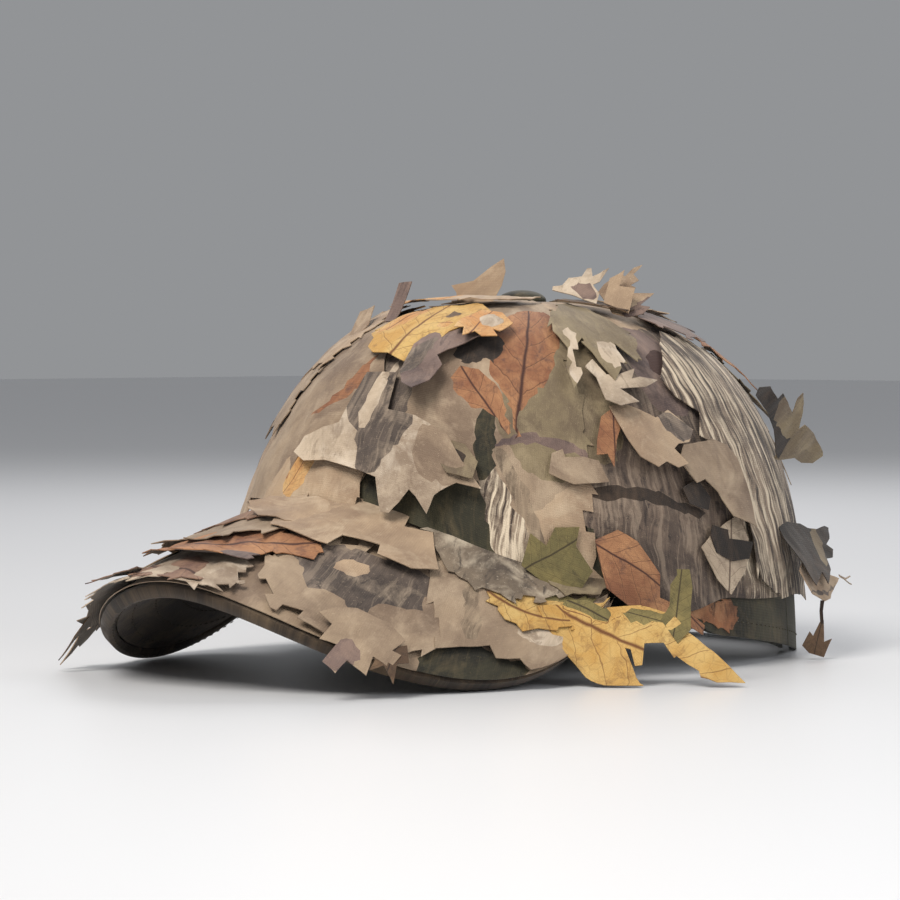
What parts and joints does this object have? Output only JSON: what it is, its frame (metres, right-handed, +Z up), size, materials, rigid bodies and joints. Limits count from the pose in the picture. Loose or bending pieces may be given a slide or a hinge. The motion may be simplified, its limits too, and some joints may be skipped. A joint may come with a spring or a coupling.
{
  "type": "leaf-cut camouflage cap",
  "caption": "Peaked camouflage cap with a curved visor, a strap closure and an outer layer of leaf-cut cloth with loose leaves that flutter.",
  "frame": {"origin": "centre of the bounding box at its base, on the surface that the cap stands on", "axes": "+Z up through the crown, the visor points along -Y, +X is the wearer's left"},
  "size_m": [0.2006, 0.2708, 0.1337],
  "materials": {
    "base_cloth": "matte twill",
    "buckram": "matte stiffened mesh",
    "binding_cloth": "matte woven tape",
    "sweatband_cloth": "matte twill",
    "visor_board": "matte moulded",
    "button_metal": "satin",
    "closure_tape": "hook and loop pile",
    "yellow_leaf_cloth": "printed polyester",
    "dark_leaf_cloth": "printed polyester",
    "leaf_cloth": "printed polyester"
  },
  "bodies": {
    "root": {"crown_panel_front_left": "base_cloth", "crown_panel_side_left": "base_cloth", "crown_panel_rear_left": "base_cloth", "crown_panel_front_right": "base_cloth", "crown_panel_side_right": "base_cloth", "crown_panel_rear_right": "base_cloth", "buckram_front_left": "buckram", "buckram_front_right": "buckram", "seam_tape_front": "binding_cloth", "seam_tape_front_left": "binding_cloth", "seam_tape_rear_left": "binding_cloth", "seam_tape_rear": "binding_cloth", "seam_tape_rear_right": "binding_cloth", "seam_tape_front_right": "binding_cloth", "sweatband": "sweatband_cloth", "rear_opening_binding": "binding_cloth", "top_button": "base_cloth", "button_back": "button_metal", "visor_top_cloth": "base_cloth", "visor_board": "visor_board", "visor_under_cloth": "base_cloth", "visor_edge_binding": "binding_cloth", "strap_anchor": "binding_cloth", "loop_patch": "closure_tape", "strap_loop_tab": "binding_cloth", "leaf_cover_front_left": "leaf_cloth", "leaf_cover_side_left": "leaf_cloth", "leaf_cover_rear_left": "leaf_cloth", "leaf_cover_front_right": "leaf_cloth", "leaf_cover_side_right": "leaf_cloth", "leaf_cover_rear_right": "leaf_cloth", "leaf_cover_visor": "leaf_cloth"},
    "strap_tab": {"strap_hook_tab": "binding_cloth", "hook_patch": "closure_tape"},
    "yellow_leaf": {"yellow_leaf": "yellow_leaf_cloth"},
    "crest_leaf": {"crest_leaf": "leaf_cloth"},
    "top_tip_leaf": {"top_tip_leaf": "leaf_cloth"},
    "front_flap": {"front_flap": "leaf_cloth"},
    "side_flap": {"side_flap": "leaf_cloth"},
    "rear_upper_leaf": {"rear_upper_leaf": "dark_leaf_cloth"},
    "rear_lower_leaf": {"rear_lower_leaf": "dark_leaf_cloth"},
    "hanging_leaf": {"hanging_stem": "dark_leaf_cloth", "hanging_leaf": "dark_leaf_cloth"},
    "visor_tip_right": {"visor_tip_right": "dark_leaf_cloth"},
    "visor_tip_front": {"visor_tip_front": "leaf_cloth"},
    "visor_tip_left": {"visor_tip_left": "leaf_cloth"}
  },
  "joints": [
    {"name": "strap_peel", "type": "hinge", "parent": "root", "child": "strap_tab", "pos_m": [0.0241, 0.1206, 0.0097], "axis": [0, 0, -1], "range_deg": [0, 110]},
    {"name": "yellow_leaf_lift", "type": "hinge", "parent": "root", "child": "yellow_leaf", "pos_m": [0.0605, -0.0143, 0.0373], "axis": [-0.3572, -0.7692, -0.5299], "range_deg": [0, 60], "stiffness_Nm_per_rad": 0.01},
    {"name": "crest_leaf_lift", "type": "hinge", "parent": "root", "child": "crest_leaf", "pos_m": [0.0211, 0.0374, 0.1116], "axis": [0.8, 0.4646, -0.3796], "range_deg": [0, 50], "stiffness_Nm_per_rad": 0.01},
    {"name": "top_tip_lift", "type": "hinge", "parent": "root", "child": "top_tip_leaf", "pos_m": [-0.0246, 0.009, 0.1169], "axis": [0.8459, -0.5327, -0.0253], "range_deg": [0, 45], "stiffness_Nm_per_rad": 0.01},
    {"name": "front_flap_lift", "type": "hinge", "parent": "root", "child": "front_flap", "pos_m": [-0.0079, -0.0427, 0.0926], "axis": [-0.9882, -0.1531, 0], "range_deg": [0, 60], "stiffness_Nm_per_rad": 0.01},
    {"name": "side_flap_lift", "type": "hinge", "parent": "root", "child": "side_flap", "pos_m": [0.0548, 0.0427, 0.0723], "axis": [0.0259, -0.9997, 0], "range_deg": [0, 60], "stiffness_Nm_per_rad": 0.01},
    {"name": "rear_upper_lift", "type": "hinge", "parent": "root", "child": "rear_upper_leaf", "pos_m": [0.0458, 0.0865, 0.065], "axis": [-0.3005, 0.8977, -0.3223], "range_deg": [0, 60], "stiffness_Nm_per_rad": 0.01},
    {"name": "rear_lower_lift", "type": "hinge", "parent": "root", "child": "rear_lower_leaf", "pos_m": [0.0554, 0.0777, 0.0446], "axis": [0.3301, -0.9439, 0], "range_deg": [0, 50], "stiffness_Nm_per_rad": 0.01},
    {"name": "hanging_swing", "type": "hinge", "parent": "rear_lower_leaf", "child": "hanging_leaf", "pos_m": [0.0695, 0.0826, 0.0188], "axis": [-0.3301, 0.9439, 0], "range_deg": [-20, 35]},
    {"name": "visor_tip_right_lift", "type": "hinge", "parent": "root", "child": "visor_tip_right", "pos_m": [-0.0697, -0.0935, 0.0206], "axis": [-0.7134, 0.5486, -0.436], "range_deg": [0, 45], "stiffness_Nm_per_rad": 0.01},
    {"name": "visor_tip_front_lift", "type": "hinge", "parent": "root", "child": "visor_tip_front", "pos_m": [-0.0355, -0.1117, 0.0345], "axis": [-0.9509, 0.2226, -0.215], "range_deg": [0, 45], "stiffness_Nm_per_rad": 0.01},
    {"name": "visor_tip_left_lift", "type": "hinge", "parent": "root", "child": "visor_tip_left", "pos_m": [0.0355, -0.0935, 0.0206], "axis": [-0.7134, -0.5486, 0.436], "range_deg": [0, 45], "stiffness_Nm_per_rad": 0.01}
  ]
}
